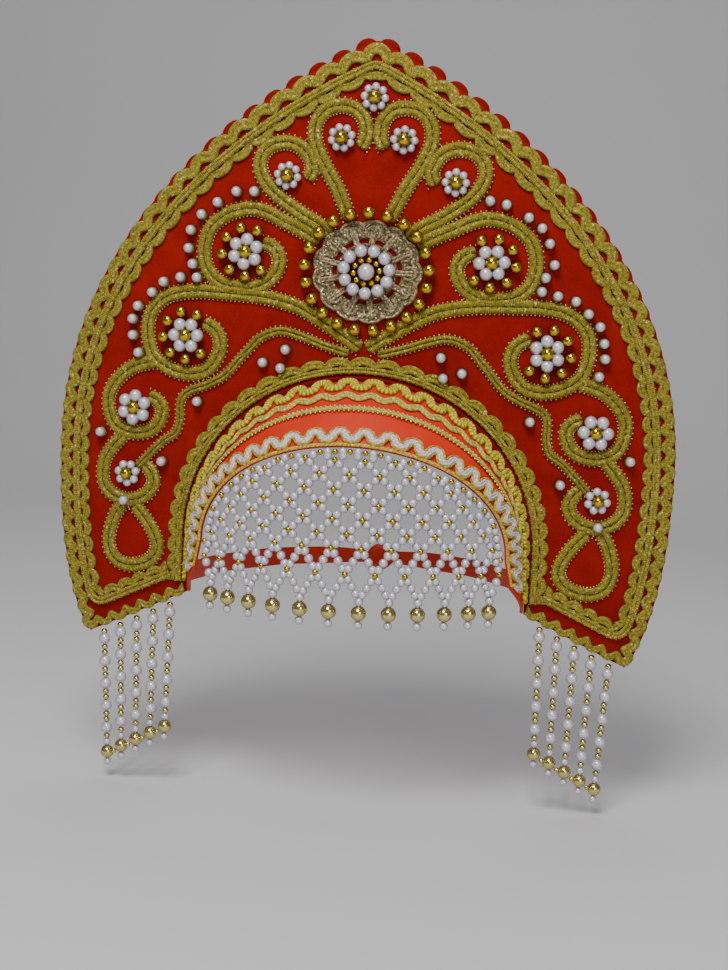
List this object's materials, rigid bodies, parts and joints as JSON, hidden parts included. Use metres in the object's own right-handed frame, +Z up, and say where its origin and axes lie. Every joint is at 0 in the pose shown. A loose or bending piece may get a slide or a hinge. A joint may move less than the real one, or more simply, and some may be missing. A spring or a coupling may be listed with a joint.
{
  "type": "kokoshnik headdress",
  "caption": "Pointed red felt headdress with gold braid scrolls, pearl flowers, a beaded forehead net, hanging bead strings and red ties.",
  "frame": {"origin": "crown of the inside of the forehead band, where the headdress sits on the head", "axes": "+Z up to the point of the shield, -Y to the front, +X to the viewer's right"},
  "size_m": [0.3108, 0.2046, 0.3735],
  "materials": {
    "felt": "matt red felt",
    "red_tape": "red tape",
    "satin": "red satin",
    "gold_braid": "gold metallic braid",
    "bright_braid": "bright gold metallic braid",
    "lace": "old gold metallic lace",
    "pearl": "pearly gloss"
  },
  "bodies": {
    "root": {"arch_gimp": "gold_braid", "band_edge_braid": "bright_braid", "band_picot_cord": "gold_braid", "band_wave_braid": "gold_braid", "border_gimp": "gold_braid", "edge_wave_braid": "gold_braid", "flower_heart_left": "pearl", "flower_heart_right": "pearl", "flower_lower_left": "pearl", "flower_lower_right": "pearl", "flower_shoulder_left": "pearl", "flower_shoulder_right": "pearl", "flower_side_left": "pearl", "flower_side_right": "pearl", "flower_small_left": "pearl", "flower_small_right": "pearl", "flower_top": "pearl", "flower_wing_left": "pearl", "flower_wing_right": "pearl", "forehead_band": "satin", "forehead_net": "pearl", "junction_braid": "bright_braid", "medallion_lace": "lace", "medallion_pearls": "pearl", "pendant_left_1": "pearl", "pendant_left_2": "pearl", "pendant_left_3": "pearl", "pendant_left_4": "pearl", "pendant_left_5": "pearl", "pendant_right_1": "pearl", "pendant_right_2": "pearl", "pendant_right_3": "pearl", "pendant_right_4": "pearl", "pendant_right_5": "pearl", "red_edging": "red_tape", "scroll_heart_left": "gold_braid", "scroll_heart_right": "gold_braid", "scroll_lower_left": "gold_braid", "scroll_lower_right": "gold_braid", "scroll_shoulder_left": "gold_braid", "scroll_shoulder_right": "gold_braid", "scroll_side_left": "gold_braid", "scroll_side_right": "gold_braid", "scroll_small_left": "gold_braid", "scroll_small_right": "gold_braid", "scroll_tear_left": "gold_braid", "scroll_tear_right": "gold_braid", "scroll_thin_left": "gold_braid", "scroll_thin_right": "gold_braid", "scroll_wing_left": "gold_braid", "scroll_wing_right": "gold_braid", "shield": "felt", "tie_knot": "satin", "tie_ribbon_left": "satin", "tie_ribbon_right": "satin"}
  },
  "joints": []
}
